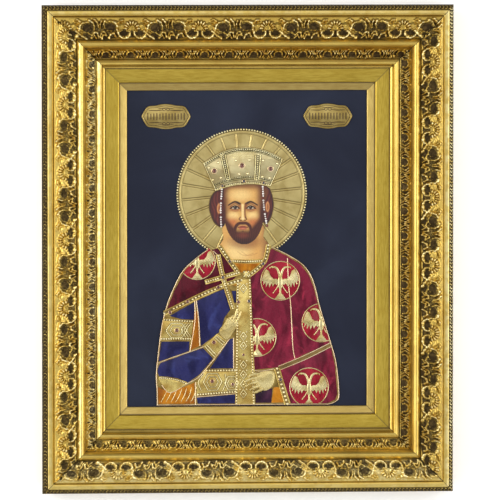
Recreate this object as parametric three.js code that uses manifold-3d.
// A framed icon panel: a carved gilt frame with liner and slip around a board that carries
// a relief figure with a radiate halo, two nameplates and set stones.
// The picture is laid out in (u right, v up, d towards the viewer) around its centre, with the
// wall plane at d = 0, and then turned so that v is +Z and the face looks along -Y.
import * as THREE from 'three';
import { mergeVertices } from 'three/addons/utils/BufferGeometryUtils.js';
import Module from 'manifold-3d';

const wasm = await Module();
wasm.setup();

// Overall sizes, in millimetres.
const FRAME_WIDTH = 514;
const FRAME_HEIGHT = 609;
const FIT_GAP = 0.3;
const HANG_PLAN = 36;

// A place on a rail is its plan distance from the frame's outer edge and its depth from the wall.
const RAIL_SIGHT = 79;
const REBATE_PLAN = 68;
const REBATE_DEPTH = 15.5;
const WIDE_BED = { start: 18.6, end: 38.6, startDepth: 42, endDepth: 43 };
const INNER_BED = { start: 54, end: 66, startDepth: 33.4, endDepth: 26.6 };

// The members of the moulding's face, from the outer edge inwards; each curve runs over a control point.
const CORD = { back: [4, 0], side: [0, 22], control: [0.4, 34.4], end: [5.8, 35] };
const FILLET = { start: [6.8, 37.6], control: [9.6, 40.4], end: [13, 38.4], quirk: [14.2, 36.8] };
const BEAD = { quirk: [42, 39.4], start: [43.4, 41.4], control: [48.4, 44], end: [51.4, 38] };
const BEAD_COVE = { control: [52, 34.4] };
const INNER_FILLET = { start: [67.4, 27.6], control: [72.4, 28.6], end: [75.2, 24] };
const SIGHT_COVE = { control: [75.8, 20.4], endDepth: 19 };

// The carved bands repeat along the stick, and each rail is cut from another place on it.
const WIDE_PERIOD = 84.5;
const INNER_PERIOD = 30.8;
const RAILS = [
  { side: 'bottom', length: FRAME_WIDTH, turns: 0, widePhase: -37.8, innerPhase: -2.6 },
  { side: 'right', length: FRAME_HEIGHT, turns: 1, widePhase: 21.4, innerPhase: -14.5 },
  { side: 'top', length: FRAME_WIDTH, turns: 2, widePhase: 18.6, innerPhase: -6.5 },
  { side: 'left', length: FRAME_HEIGHT, turns: 3, widePhase: 28.6, innerPhase: 15 },
];

// Liner and slip.
const LINER = { start: 68.5, sight: 97.2, front: 15.2, round: 1.3, rebatePlan: 92, rebateDepth: 11 };
const SLIP = {
  start: 92.3,
  sight: 107,
  front: 10.7,
  bevelStart: 98.2,
  bevelEnd: 8.6,
  round: 1,
  rebatePlan: 100,
  rebateDepth: 6.3,
};

// Board and the plates on it.
const BOARD_EDGE = 100.3;
const BOARD_FRONT = 6;
const GLUE = 0.1;
const PLATE_BACK = BOARD_FRONT + GLUE;
const PLATE_FRONT = PLATE_BACK + 1.7;
const ROOT_SINK = 0.8;
const TRIM_LAP = 0.05;

// Halo.
const HALO = { u: -6.5, v: 68, radius: 82, ring: 77, rays: 24, rayInner: 34, rayOuter: 75 };
const HALO_FRONT = PLATE_BACK + 0.9;

// Nameplates.
const NAMEPLATE = { u: 101.2, v: 165, width: 61, height: 31.5, thick: 1.1, rim: 0.5, rimWidth: 2.6 };
const NAMEPLATE_END = { length: 7, pointInset: 1.3, shoulderInset: 0.6 };
const NAMEPLATE_SWELL = { foot: 7, crest: 3, rise: 2.6 };

const gilt = new THREE.MeshStandardMaterial({ color: 0xb08a3c, roughness: 0.42, metalness: 0.9 });
const linerGilt = new THREE.MeshStandardMaterial({ color: 0x9c8444, roughness: 0.5, metalness: 0.85 });
const champagne = new THREE.MeshStandardMaterial({ color: 0xb59a6c, roughness: 0.45, metalness: 0.8 });
const boardBlue = new THREE.MeshStandardMaterial({ color: 0x0f1640, roughness: 0.55, metalness: 0 });
const paleGold = new THREE.MeshStandardMaterial({ color: 0xd9c39a, roughness: 0.35, metalness: 1 });
const redStone = new THREE.MeshStandardMaterial({ color: 0x8a1020, roughness: 0.1, metalness: 0 });
const darkStone = new THREE.MeshStandardMaterial({ color: 0x14162c, roughness: 0.1, metalness: 0 });

function solidFrom(geometry) {
  const bare = geometry.clone();
  bare.deleteAttribute('normal');
  bare.deleteAttribute('uv');
  const merged = mergeVertices(bare, 1e-4);
  const vertProperties = new Float32Array(merged.attributes.position.array);
  const corners = merged.index.array;
  const kept = [];
  for (let i = 0; i < corners.length; i += 3) {
    const [a, b, c] = corners.subarray(i, i + 3);
    if (a !== b && b !== c && c !== a) kept.push(a, b, c);
  }
  const triVerts = new Uint32Array(kept);
  return new wasm.Manifold(new wasm.Mesh({ numProp: 3, vertProperties, triVerts }));
}

function geometryFrom(solid) {
  const mesh = solid.getMesh();
  const geometry = new THREE.BufferGeometry();
  geometry.setAttribute('position', new THREE.BufferAttribute(mesh.vertProperties, 3));
  geometry.setIndex(new THREE.BufferAttribute(mesh.triVerts, 1));
  geometry.computeVertexNormals();
  return geometry;
}

function vectors(points) {
  return points.map(([x, y]) => new THREE.Vector2(x, y));
}

// A flat slab with the outline of a shape, from one depth to another.
function slab(shape, back, front, curveSegments = 6) {
  const settings = { depth: front - back, bevelEnabled: false, curveSegments };
  return new THREE.ExtrudeGeometry(shape, settings).translate(0, 0, back);
}

function isClosed(points) {
  return points[0].distanceTo(points.at(-1)) < 1e-6;
}

// The sideways step from each station of a path to its edge, mitred so that edges run parallel.
function edgeSteps(points) {
  const last = points.length - 1;
  const closed = isClosed(points);
  const normals = points.slice(0, last).map((point, i) => {
    const along = points[i + 1].clone().sub(point).normalize();
    return new THREE.Vector2(-along.y, along.x);
  });
  return points.map((point, i) => {
    const before = normals[i > 0 || closed ? (i + last - 1) % last : 0];
    const after = normals[i < last || closed ? i % last : last - 1];
    const bisector = before.clone().add(after).normalize();
    return bisector.divideScalar(bisector.dot(after));
  });
}

// A raised ridge with a sharp crest and flat flanks along a path on a flat bed; a pair of half widths
// tapers it from end to end, and the height goes with the width.
function ridge(path, halfWidth, height, bed) {
  const points = vectors(path);
  const last = points.length - 1;
  const [startWidth, endWidth] = Array.isArray(halfWidth) ? halfWidth : [halfWidth, halfWidth];
  const slope = (height + ROOT_SINK) / Math.max(startWidth, endWidth);
  const positions = [];
  edgeSteps(points).forEach((step, i) => {
    const width = THREE.MathUtils.lerp(startWidth, endWidth, i / last);
    const point = points[i];
    const left = point.clone().addScaledVector(step, width);
    const right = point.clone().addScaledVector(step, -width);
    positions.push(left.x, left.y, bed(left.y) - ROOT_SINK);
    positions.push(point.x, point.y, bed(point.y) - ROOT_SINK + slope * width);
    positions.push(right.x, right.y, bed(right.y) - ROOT_SINK);
  });
  const faces = isClosed(points) ? [] : [0, 2, 1, 3 * last, 3 * last + 1, 3 * last + 2];
  for (let i = 0; i < last; i += 1) {
    for (const side of [0, 1, 2]) {
      const a = 3 * i + side;
      const b = 3 * i + ((side + 1) % 3);
      faces.push(a, b, b + 3, a, b + 3, a + 3);
    }
  }
  const geometry = new THREE.BufferGeometry();
  geometry.setAttribute('position', new THREE.Float32BufferAttribute(positions, 3));
  geometry.setIndex(faces);
  return geometry;
}

function arcPath(cx, cy, rx, ry, fromDegrees, toDegrees, steps) {
  const path = [];
  for (let i = 0; i <= steps; i += 1) {
    const angle = THREE.MathUtils.degToRad(fromDegrees + ((toDegrees - fromDegrees) * i) / steps);
    path.push([cx + rx * Math.cos(angle), cy + ry * Math.sin(angle)]);
  }
  return path;
}

function joined(geometries) {
  return wasm.Manifold.union(geometries.map(solidFrom));
}

// Depth of the flat bed of a carved band at a plan distance.
function bedDepth(bed, plan) {
  const t = (plan - bed.start) / (bed.end - bed.start);
  return THREE.MathUtils.lerp(bed.startDepth, bed.endDepth, t);
}

const wideBed = (plan) => bedDepth(WIDE_BED, plan);
const innerBed = (plan) => bedDepth(INNER_BED, plan);

// The moulding's section, as plan distance against depth, round from the back to the back.
function railSection() {
  const section = new THREE.Shape();
  section.moveTo(...CORD.back);
  section.lineTo(REBATE_PLAN, 0);
  section.lineTo(REBATE_PLAN, REBATE_DEPTH);
  section.lineTo(RAIL_SIGHT, REBATE_DEPTH);
  section.lineTo(RAIL_SIGHT, SIGHT_COVE.endDepth);
  section.quadraticCurveTo(...SIGHT_COVE.control, ...INNER_FILLET.end);
  section.quadraticCurveTo(...INNER_FILLET.control, ...INNER_FILLET.start);
  section.lineTo(INNER_BED.end, INNER_BED.endDepth);
  section.lineTo(INNER_BED.start, INNER_BED.startDepth);
  section.quadraticCurveTo(...BEAD_COVE.control, ...BEAD.end);
  section.quadraticCurveTo(...BEAD.control, ...BEAD.start);
  section.lineTo(...BEAD.quirk);
  section.lineTo(WIDE_BED.end, WIDE_BED.endDepth);
  section.lineTo(WIDE_BED.start, WIDE_BED.startDepth);
  section.lineTo(...FILLET.quirk);
  section.lineTo(...FILLET.end);
  section.quadraticCurveTo(...FILLET.control, ...FILLET.start);
  section.lineTo(...CORD.end);
  section.quadraticCurveTo(...CORD.control, ...CORD.side);
  section.lineTo(...CORD.back);
  return section;
}

// A pair of leaf cups: two arched rims on the outer side and a leaf between them on the inner side.
function leafCups(centre) {
  const ridges = [];
  for (const side of [-1, 1]) {
    ridges.push(ridge(arcPath(centre + side * 11.8, 28.6, 9, 7.4, 10, -190, 3), 1.7, 4, wideBed));
  }
  ridges.push(ridge([[centre, 32.2], [centre, 37.8]], [1.2, 2.8], 3, wideBed));
  return ridges;
}

// A ribbed shell on the outer side with two scrolls below it.
function shellAndScrolls(centre) {
  const ridges = [];
  for (const degrees of [38, 90, 142]) {
    const angle = THREE.MathUtils.degToRad(degrees);
    const at = (reach) => [centre + 1.2 * reach * Math.cos(angle), 30 - reach * Math.sin(angle)];
    ridges.push(ridge([at(2.4), at(10)], [1, 2.6], 3.6, wideBed));
  }
  for (const side of [-1, 1]) {
    ridges.push(ridge(arcPath(centre + side * 8.6, 31, 6.4, 5.6, -10, 190, 3), 1.4, 3, wideBed));
  }
  return ridges;
}

// A small cup under an arch, then a leaf across the band.
function innerLeaf(centre) {
  const leaf = centre + INNER_PERIOD / 2;
  return [
    ridge([[centre - 6.4, 62], [centre, 56.2], [centre + 6.4, 62]], 1.3, 2.4, innerBed),
    ridge([[leaf - 5, 56], [leaf + 5, 64]], 1.7, 2, innerBed),
  ];
}

function repeated(motif, period, phase, halfLength) {
  const ridges = [];
  const first = Math.ceil((-halfLength - phase) / period) - 1;
  const last = Math.floor((halfLength - phase) / period) + 1;
  for (let k = first; k <= last; k += 1) {
    ridges.push(...motif(phase + k * period));
  }
  return ridges;
}

// The straight stick of a section, along the rail's own length.
function stick(section, length, curveSegments) {
  const settings = { depth: length, bevelEnabled: false, curveSegments };
  const turned = new THREE.Matrix4().set(0, 0, 1, -length / 2, 1, 0, 0, 0, 0, 1, 0, 0, 0, 0, 0, 1);
  return new THREE.ExtrudeGeometry(section, settings).applyMatrix4(turned);
}

// The trapezium that mitres a stick at both ends, leaving half the fitting gap at each.
const MITRE_FRONT = 60;

function mitreBlock(length, planEnd) {
  const half = length / 2 - FIT_GAP * Math.SQRT1_2;
  const over = 1;
  const outline = [
    [-half - over, -over],
    [half + over, -over],
    [half - planEnd - over, planEnd + over],
    [-half + planEnd + over, planEnd + over],
  ];
  return slab(new THREE.Shape(vectors(outline)), -over, MITRE_FRONT);
}

function railGeometry({ length, widePhase, innerPhase }) {
  const half = length / 2;
  const carving = [
    ...repeated(leafCups, WIDE_PERIOD, widePhase, half),
    ...repeated(shellAndScrolls, WIDE_PERIOD, widePhase + WIDE_PERIOD / 2, half),
    ...repeated(innerLeaf, INNER_PERIOD, innerPhase, half - INNER_BED.start),
  ];
  const block = solidFrom(mitreBlock(length, RAIL_SIGHT));
  return geometryFrom(joined([stick(railSection(), length, 2), ...carving]).intersect(block));
}

function linerSection() {
  const section = new THREE.Shape();
  section.moveTo(LINER.start, 0);
  section.lineTo(LINER.rebatePlan, 0);
  section.lineTo(LINER.rebatePlan, LINER.rebateDepth);
  section.lineTo(LINER.sight, LINER.rebateDepth);
  section.lineTo(LINER.sight, LINER.front - LINER.round);
  section.quadraticCurveTo(LINER.sight, LINER.front, LINER.sight - LINER.round, LINER.front);
  section.lineTo(LINER.start, LINER.front);
  return section;
}

function slipSection() {
  const section = new THREE.Shape();
  section.moveTo(SLIP.start, 0);
  section.lineTo(SLIP.rebatePlan, 0);
  section.lineTo(SLIP.rebatePlan, SLIP.rebateDepth);
  section.lineTo(SLIP.sight, SLIP.rebateDepth);
  section.lineTo(SLIP.sight, SLIP.bevelEnd - SLIP.round);
  section.quadraticCurveTo(SLIP.sight, SLIP.bevelEnd, SLIP.sight - SLIP.round, SLIP.bevelEnd);
  section.lineTo(SLIP.bevelStart, SLIP.front);
  section.lineTo(SLIP.start, SLIP.front);
  return section;
}

function mitred(section, length, planEnd) {
  return geometryFrom(solidFrom(stick(section, length, 3)).intersect(solidFrom(mitreBlock(length, planEnd))));
}

// Each rail is made along its own length and turned to its side of the frame.
function placedOnSide(mesh, turns) {
  const angle = (turns * Math.PI) / 2;
  const reach = (turns % 2 === 0 ? FRAME_HEIGHT : FRAME_WIDTH) / 2;
  mesh.rotation.z = angle;
  mesh.position.set(Math.round(Math.sin(angle)) * reach, -Math.round(Math.cos(angle)) * reach, 0);
  return mesh;
}

function named(name, geometry, material) {
  const mesh = new THREE.Mesh(geometry, material);
  mesh.name = name;
  return mesh;
}

function frameMeshes() {
  const meshes = [];
  for (const rail of RAILS) {
    const liner = mitred(linerSection(), rail.length, LINER.sight);
    const slip = mitred(slipSection(), rail.length, SLIP.sight);
    meshes.push(placedOnSide(named(`frame_rail_${rail.side}`, railGeometry(rail), gilt), rail.turns));
    meshes.push(placedOnSide(named(`liner_${rail.side}`, liner, linerGilt), rail.turns));
    meshes.push(placedOnSide(named(`slip_${rail.side}`, slip, champagne), rail.turns));
  }
  return meshes;
}

function boardMesh() {
  const width = FRAME_WIDTH - 2 * BOARD_EDGE;
  const height = FRAME_HEIGHT - 2 * BOARD_EDGE;
  const board = new THREE.BoxGeometry(width, height, BOARD_FRONT).translate(0, 0, BOARD_FRONT / 2);
  return named('icon_board', board, boardBlue);
}

// The figure's outlines, from the shoulder down each side.
const FIGURE_FOOT = -196.6;
const HEM_CORNER = { start: 105, control: 116 };
const TRIM_FRONT = PLATE_FRONT + 5;
const LEFT_SIDE = [
  [-48, -1], [-69, -17], [-83, -32], [-94, -55], [-102, -80], [-108, -108], [-112.5, -142], [-113.5, -164],
];
const RIGHT_SIDE = [
  [32, 1.6], [50, -9], [66, -18], [77, -31], [85, -50], [90, -73], [98, -99], [105, -121], [112.6, -152],
  [115.5, -182],
];
const HEAD = { u: -5.5, v: 42, halfWidth: 29, halfHeight: 38 };
const HAIR_RISE = 0.6;
const HAIR = [
  { u: -37, v: 51, halfWidth: 10.5, halfHeight: 24, lean: -8 },
  { u: 26.6, v: 55, halfWidth: 7.5, halfHeight: 22, lean: -4 },
];
const BROW = [[-37, 50], [-38, 73], [-30, 84], [-4, 90], [22, 88], [27.4, 78], [26.6, 52]];
const NECK = [[-36, 1], [-25, 15], [17, 17], [28.5, 1.5], [0, -10]];
const CROWN_RISE = 1.4;
const CROWN = {
  bandWidth: 9.5,
  bottom: [[-40, 72], [-4, 80.5], [29.4, 77.4]],
  top: [[-55, 107], [-3, 126.5], [45, 112]],
  straps: [[[-26.4, 118.5], [-23, 79]], [[14.6, 122.5], [12, 81]]],
};

function bustShape(grow = 0) {
  const shape = new THREE.Shape();
  const left = LEFT_SIDE.map(([u, v]) => [u - grow, v + grow]);
  const right = RIGHT_SIDE.map(([u, v]) => [u + grow, v + grow]);
  shape.moveTo(left.at(-1)[0], FIGURE_FOOT);
  shape.lineTo(HEM_CORNER.start, FIGURE_FOOT);
  shape.quadraticCurveTo(HEM_CORNER.control, FIGURE_FOOT, ...right.at(-1));
  shape.splineThru(vectors(right.slice(0, -1).reverse()));
  shape.lineTo(...left[0]);
  shape.splineThru(vectors(left.slice(1)));
  return shape;
}

function ovalShape({ u, v, halfWidth, halfHeight, lean = 0 }, grow = 0) {
  const shape = new THREE.Shape();
  const turn = THREE.MathUtils.degToRad(lean);
  shape.absellipse(u, v, halfWidth + grow, halfHeight + grow, 0, 2 * Math.PI, false, turn);
  return shape;
}

// The middle point of three is the crest of an arch, so the curve's control lies past it.
function archControl([start, crest, end]) {
  return [2 * crest[0] - (start[0] + end[0]) / 2, 2 * crest[1] - (start[1] + end[1]) / 2];
}

function crownShape(grow = 0) {
  const { bottom, top } = CROWN;
  const shape = new THREE.Shape();
  shape.moveTo(bottom[0][0] - grow, bottom[0][1] - grow);
  shape.quadraticCurveTo(...archControl(bottom), bottom[2][0] + grow, bottom[2][1] - grow);
  shape.lineTo(top[2][0] + grow, top[2][1] + grow);
  const [controlU, controlV] = archControl(top);
  shape.quadraticCurveTo(controlU, controlV + 2 * grow, top[0][0] - grow, top[0][1] + grow);
  return shape;
}

// A band of constant width along a path, standing up to a level.
function band(path, width, front) {
  const points = vectors(path);
  const steps = edgeSteps(points);
  const left = points.map((point, i) => point.clone().addScaledVector(steps[i], width / 2));
  const right = points.map((point, i) => point.clone().addScaledVector(steps[i], -width / 2)).reverse();
  return slab(new THREE.Shape([...left, ...right]), PLATE_BACK, front);
}

function patch(points, front) {
  return slab(new THREE.Shape(vectors(points)), PLATE_BACK, front);
}

const plateBed = () => PLATE_FRONT;
const wire = (path, halfWidth = 0.8, height = 0.7) => ridge(path, halfWidth, height, plateBed);

// Trim and dress of the figure, by path and width.
const BAND_FRONT = PLATE_FRONT + 0.9;
const CROSS_FRONT = PLATE_FRONT + 1.7;
const BANDS = [
  { path: [[-34, 3], [-24, -12], [-12.5, -28]], width: 5 },
  { path: [[28, 0.5], [23.5, -14.5], [5, -34]], width: 5 },
  { path: [[-18, -15.5], [19, -15.5]], width: 3.4 },
  { path: [[-101.5, -82.5], [-72.6, -65], [-51.6, -55], [-30.5, -46]], width: 6.4 },
  { path: [[37.6, -150.6], [43.2, -170], [50.4, -195.5]], width: 7 },
];
const CROSS = [
  { path: [[-36, -8], [-30, -35.6], [-16.5, -75]], width: 6 },
  { path: [[-51.6, -42], [-7, -29.5]], width: 6 },
];
const CLASP = [[-4.5, -32], [-0.7, -28.5], [3, -32], [-0.7, -35.5]];
const GOLD_PATCHES = {
  centralBand: [[-12, -38], [4, -38], [9.6, -152], [10, -195.5], [-14.7, -195.5], [-13.4, -110]],
  armBand: [[-103.5, -88], [-66, -88], [-70, -115], [-107, -115]],
  sleeveCuff: [[-54, -122], [-37.5, -107], [-25, -115], [-39, -135]],
  belt: [[-64, -166], [-52.5, -150.5], [-14, -150.5], [-14, -182], [-62, -185]],
};
const FOLD_WIRES = [
  [[50, -11], [52, -44], [55, -95], [58, -138]],
  [[40, -149], [72, -136], [104, -121]],
  [[42, -153.5], [74, -140.5], [106, -126]],
  [[-64.7, -68], [-68, -100], [-71, -128]],
  [[-110, -142], [-71, -129.5], [-54, -123]],
  [[-110, -160], [-92, -160], [-74, -167], [-43, -137]],
  [[-61, -68], [-59, -100], [-57.7, -121]],
  [[-45, -150], [-24, -115]],
  [[-65.6, -167], [-65.6, -195]],
];
const ROUNDELS = [
  { u: 41.6, v: -40.5, radius: 24 },
  { u: 93, v: -93.3, radius: 24 },
  { u: 11.8, v: -111.5, radius: 23.4 },
  { u: 78, v: -174.6, radius: 24 },
  { u: -62.4, v: -16.3, radius: 24 },
];
const HANDS = [
  {
    palm: [[-33, -104], [-24, -92], [-12, -98], [-20, -111]],
    knuckle: [-20, -94],
    tips: [[-24, -77], [-18.5, -74], [-12, -77], [-7, -84]],
  },
  {
    palm: [[34, -156], [19, -155], [15, -176], [33, -178]],
    knuckle: [19, -166],
    tips: [[8, -156], [1.5, -162.5], [1.5, -169.5], [6, -177]],
  },
];
const HAND_RISE = 2.2;

// A double-headed bird in low relief: body and tail, two necks and two wings.
function bird({ u, v, radius }) {
  const at = (x, y) => [u + x * radius, v + y * radius];
  const parts = [wire([at(0, 0.3), at(0, -0.78)], 0.17 * radius, 0.85)];
  for (const side of [-1, 1]) {
    parts.push(wire([at(side * 0.14, 0.4), at(side * 0.3, 0.72)], 0.08 * radius, 0.75));
    parts.push(wire([at(side * 0.24, -0.06), at(side * 0.72, 0.2)], [0.2 * radius, 0.1 * radius], 0.75));
  }
  return parts;
}

function roundel({ u, v, radius }) {
  return wire(arcPath(u, v, radius, radius, 0, 360, 12), 0.9, 0.75);
}

// Two wavy locks down a mass of hair.
function locks({ u, v, halfWidth, halfHeight, lean }) {
  const slope = Math.tan(THREE.MathUtils.degToRad(lean));
  return [-0.35, 0.35].map((across) => {
    const path = [0.7, 0, -0.7].map((down, i) => {
      const sway = (i % 2 ? 0.12 : -0.12) * halfWidth;
      const rise = down * halfHeight;
      return [u + across * halfWidth + sway - slope * rise, v + rise];
    });
    return ridge(path, 1.3, 0.6, () => PLATE_FRONT + HAIR_RISE);
  });
}

function fingerRoot([knuckleU, knuckleV], [tipU, tipV]) {
  const share = 0.36;
  return [THREE.MathUtils.lerp(knuckleU, tipU, share), THREE.MathUtils.lerp(knuckleV, tipV, share)];
}

function crownParts() {
  const bed = () => PLATE_FRONT + CROWN_RISE;
  const [bandStart, bandCrest, bandEnd] = CROWN.bottom;
  const parts = CROWN.straps.map((strap) => ridge(strap, 2.6, 1, bed));
  const lift = ([u, v]) => [u, v + CROWN.bandWidth];
  parts.push(ridge([lift(bandStart), lift(bandCrest), lift(bandEnd)], 1, 1, bed));
  return parts;
}

// The standing outline of the whole figure, grown where it is used to notch its neighbour.
function figureOutline(grow, front) {
  const ovals = [HEAD, ...HAIR].map((oval) => slab(ovalShape(oval, grow), PLATE_BACK - 1, front, 8));
  const bust = slab(bustShape(grow), PLATE_BACK - 1, front, 2);
  const crown = slab(crownShape(grow), PLATE_BACK - 1, front, 4);
  const flesh = [BROW, NECK].map((points) => slab(new THREE.Shape(vectors(points)), PLATE_BACK - 1, front));
  return joined([bust, crown, ...flesh, ...ovals]);
}

function figureGeometry() {
  const parts = [
    slab(bustShape(), PLATE_BACK, PLATE_FRONT, 2),
    slab(ovalShape(HEAD), PLATE_BACK, PLATE_FRONT, 8),
    slab(crownShape(), PLATE_BACK, PLATE_FRONT + CROWN_RISE, 4),
    patch(BROW, PLATE_FRONT),
    patch(NECK, PLATE_FRONT),
    patch(CLASP, CROSS_FRONT),
    ...crownParts(),
    ...BANDS.map(({ path, width }) => band(path, width, BAND_FRONT)),
    ...CROSS.map(({ path, width }) => band(path, width, CROSS_FRONT)),
    ...Object.values(GOLD_PATCHES).map((points) => patch(points, BAND_FRONT)),
    ...FOLD_WIRES.map((path) => wire(path)),
    ...ROUNDELS.flatMap((place) => [roundel(place), ...bird(place)]),
  ];
  for (const lock of HAIR) {
    parts.push(slab(ovalShape(lock), PLATE_BACK, PLATE_FRONT + HAIR_RISE, 8), ...locks(lock));
  }
  for (const { palm, knuckle, tips } of HANDS) {
    parts.push(patch(palm, PLATE_FRONT + HAND_RISE));
    parts.push(...tips.map((tip) => ridge([fingerRoot(knuckle, tip), tip], [1.9, 1.5], HAND_RISE, plateBed)));
  }
  return geometryFrom(joined(parts).intersect(figureOutline(TRIM_LAP, TRIM_FRONT)));
}

// A thin disc with a raised rim and rays, notched to fit around the figure.
function haloGeometry() {
  const { u, v, radius, ring, rays, rayInner, rayOuter } = HALO;
  const profile = vectors([
    [0, PLATE_BACK],
    [radius, PLATE_BACK],
    [radius, HALO_FRONT + 0.8],
    [ring, HALO_FRONT],
    [0, HALO_FRONT],
  ]);
  const parts = [new THREE.LatheGeometry(profile, 36).rotateX(Math.PI / 2).translate(u, v, 0)];
  for (let i = 0; i < rays; i += 1) {
    const angle = (2 * Math.PI * (i + 0.8)) / rays;
    const at = (reach) => [u + reach * Math.cos(angle), v + reach * Math.sin(angle)];
    parts.push(ridge([at(rayInner), at(rayOuter)], [0.7, 1.5], 0.6, () => HALO_FRONT));
  }
  return geometryFrom(joined(parts).subtract(figureOutline(FIT_GAP, TRIM_FRONT)));
}

// A long plate with pointed ends and a small swelling in the middle of its long edges.
function nameplateShape(inset) {
  const { width, height } = NAMEPLATE;
  const end = width / 2 - inset * NAMEPLATE_END.pointInset;
  const shoulder = width / 2 - NAMEPLATE_END.length - inset * NAMEPLATE_END.shoulderInset;
  const crest = height / 2 - inset;
  const edge = crest - NAMEPLATE_SWELL.rise;
  const corner = [[end, 0], [shoulder, edge], [NAMEPLATE_SWELL.foot, edge], [NAMEPLATE_SWELL.crest, crest]];
  const mirrored = corner.map(([x, y]) => [-x, y]).reverse();
  const upper = [...corner, ...mirrored];
  const lower = upper.slice(1, -1).map(([x, y]) => [x, -y]).reverse();
  return new THREE.Shape(vectors([...upper, ...lower]));
}

function nameplateGeometry() {
  const front = PLATE_BACK + NAMEPLATE.thick;
  const rim = nameplateShape(0);
  rim.holes.push(nameplateShape(NAMEPLATE.rimWidth));
  return geometryFrom(joined([
    slab(nameplateShape(0), PLATE_BACK, front),
    slab(rim, front - ROOT_SINK, front + NAMEPLATE.rim),
  ]));
}

function nameplateMesh(name, side) {
  const mesh = named(name, nameplateGeometry(), paleGold);
  mesh.position.set(side * NAMEPLATE.u, NAMEPLATE.v, 0);
  return mesh;
}

// A cut stone with a flat table, glued in its seat.
function stoneMesh({ name, u, v, seat, radius, material }) {
  const back = seat + GLUE;
  const profile = vectors([
    [0, back],
    [radius, back],
    [0.6 * radius, back + 0.85 * radius],
    [0, back + 0.85 * radius],
  ]);
  const cut = geometryFrom(solidFrom(new THREE.LatheGeometry(profile, 6).rotateX(Math.PI / 2)));
  const mesh = named(`stone_${name}`, cut, material);
  mesh.position.set(u, v, 0);
  return mesh;
}

const CROWN_SEAT = PLATE_FRONT + CROWN_RISE;
const STONES = [
  { name: 'crown_left', u: -41, v: 97, seat: CROWN_SEAT, radius: 3.2, material: redStone },
  { name: 'crown_middle', u: -6.4, v: 103.6, seat: CROWN_SEAT, radius: 3.4, material: redStone },
  { name: 'crown_right', u: 29.4, v: 99.4, seat: CROWN_SEAT, radius: 3.2, material: redStone },
  { name: 'crown_band_left', u: -31, v: 78.6, seat: CROWN_SEAT, radius: 1.9, material: darkStone },
  { name: 'crown_band_middle', u: -4, v: 84, seat: CROWN_SEAT, radius: 2.1, material: darkStone },
  { name: 'crown_band_right', u: 20.6, v: 82, seat: CROWN_SEAT, radius: 1.9, material: darkStone },
  { name: 'collar_left', u: -21.8, v: -16, seat: BAND_FRONT, radius: 2, material: darkStone },
  { name: 'collar_right', u: 20, v: -19.2, seat: BAND_FRONT, radius: 2, material: darkStone },
  { name: 'hem_inner', u: -36, v: -48.4, seat: BAND_FRONT, radius: 2.1, material: redStone },
  { name: 'hem_middle', u: -74.5, v: -66.2, seat: BAND_FRONT, radius: 2.1, material: redStone },
  { name: 'hem_outer', u: -96.5, v: -79.5, seat: BAND_FRONT, radius: 2.1, material: redStone },
  { name: 'cross', u: -30.4, v: -36, seat: CROSS_FRONT, radius: 2.2, material: darkStone },
  { name: 'central_band_right', u: 2.4, v: -66, seat: BAND_FRONT, radius: 2.2, material: darkStone },
  { name: 'central_band_left', u: -10.8, v: -67, seat: BAND_FRONT, radius: 2, material: redStone },
  { name: 'central_band_low', u: -4.6, v: -133, seat: BAND_FRONT, radius: 1.7, material: redStone },
  { name: 'arm_band', u: -88, v: -102, seat: BAND_FRONT, radius: 2.6, material: redStone },
  { name: 'cuff', u: -41.6, v: -117.2, seat: BAND_FRONT, radius: 2.4, material: redStone },
  { name: 'belt_left', u: -43.7, v: -166, seat: BAND_FRONT, radius: 2.4, material: redStone },
  { name: 'belt_right', u: -18, v: -170, seat: BAND_FRONT, radius: 2.1, material: redStone },
  { name: 'sleeve', u: 41.8, v: -164.4, seat: BAND_FRONT, radius: 2.2, material: darkStone },
];

const picture = new THREE.Group();
picture.rotation.x = Math.PI / 2;
picture.position.z = HANG_PLAN - FRAME_HEIGHT / 2;
picture.add(...frameMeshes(), boardMesh());
picture.add(named('halo', haloGeometry(), paleGold), named('saint_figure', figureGeometry(), paleGold));
picture.add(nameplateMesh('nameplate_left', -1), nameplateMesh('nameplate_right', 1));
picture.add(...STONES.map(stoneMesh));

const iconPanel = new THREE.Group();
iconPanel.add(picture);

export default iconPanel;
